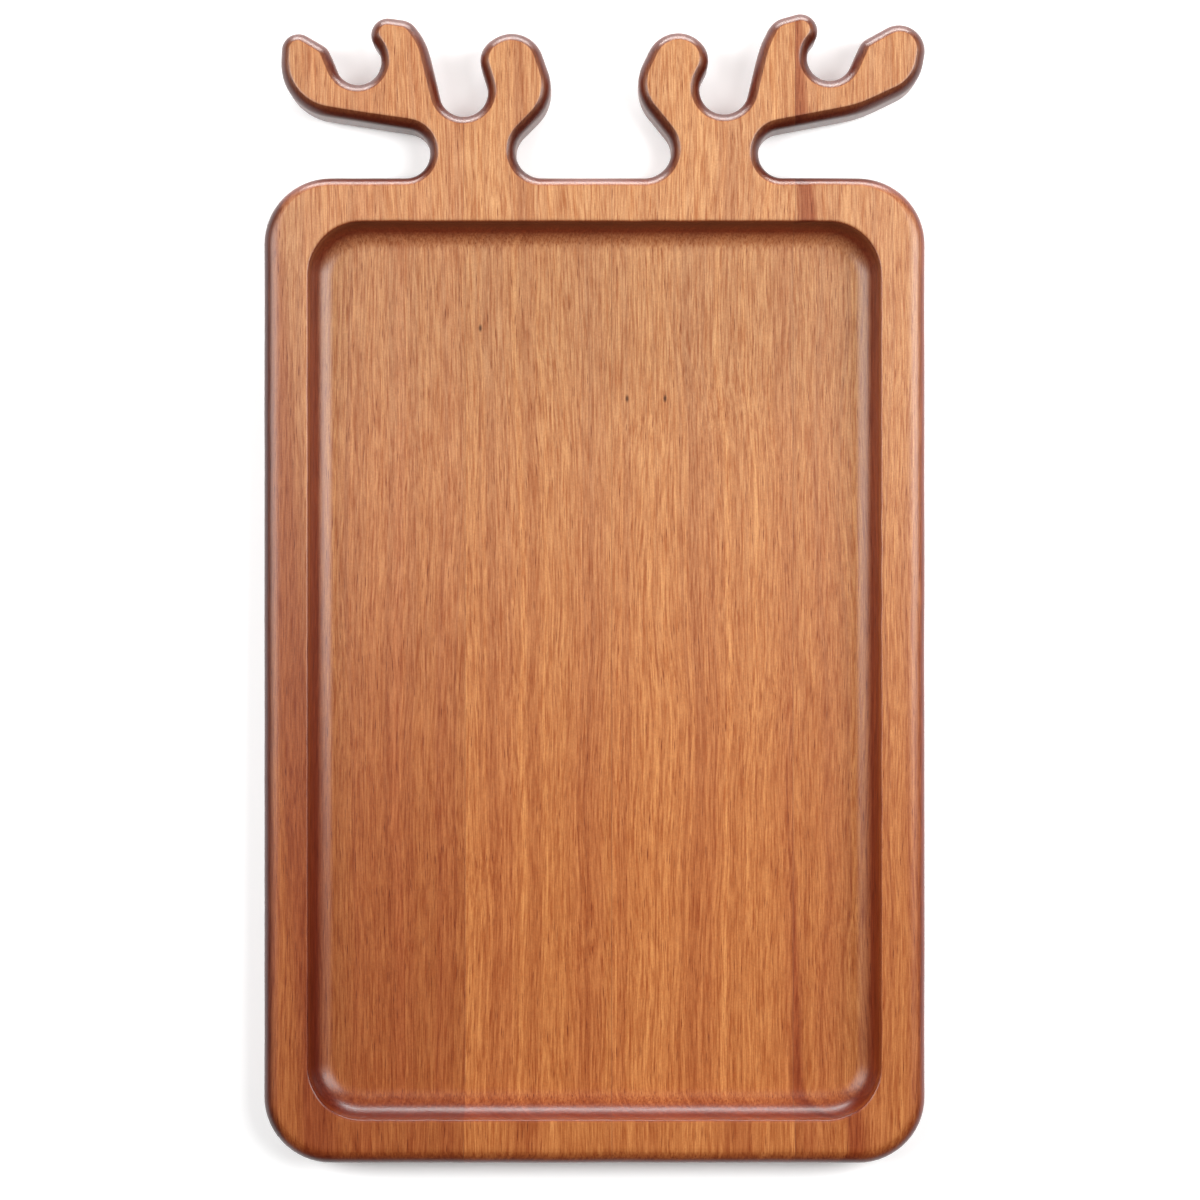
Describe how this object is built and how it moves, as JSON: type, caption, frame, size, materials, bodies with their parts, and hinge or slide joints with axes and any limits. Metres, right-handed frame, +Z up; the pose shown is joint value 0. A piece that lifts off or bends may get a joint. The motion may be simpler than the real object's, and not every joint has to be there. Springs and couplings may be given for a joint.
{
  "type": "serving tray",
  "caption": "Wooden serving tray: a rounded rectangular board with a coved well and two antler-shaped handles at one end, edge-glued from four staves.",
  "frame": {"origin": "under the middle of the whole tray's length and width, on the plane that it rests on", "axes": "+X to the right across the tray, +Y along the grain towards the antlers, +Z up, out of the well"},
  "size_m": [0.228, 0.3966, 0.02],
  "materials": {
    "left_stave_wood": "oiled acacia, satin, redder stave",
    "centre_left_stave_wood": "oiled acacia, satin",
    "centre_right_stave_wood": "oiled acacia, satin, golden stave",
    "right_stave_wood": "oiled acacia, satin",
    "wood_glue": "cured wood glue, sanded flush, brown"
  },
  "bodies": {
    "root": {"left_stave": "left_stave_wood", "centre_left_stave": "centre_left_stave_wood", "centre_right_stave": "centre_right_stave_wood", "right_stave": "right_stave_wood", "right_antler_branch": "right_stave_wood", "left_glue_line": "wood_glue", "centre_glue_line": "wood_glue", "right_glue_line": "wood_glue", "branch_glue_line": "wood_glue"}
  },
  "joints": []
}
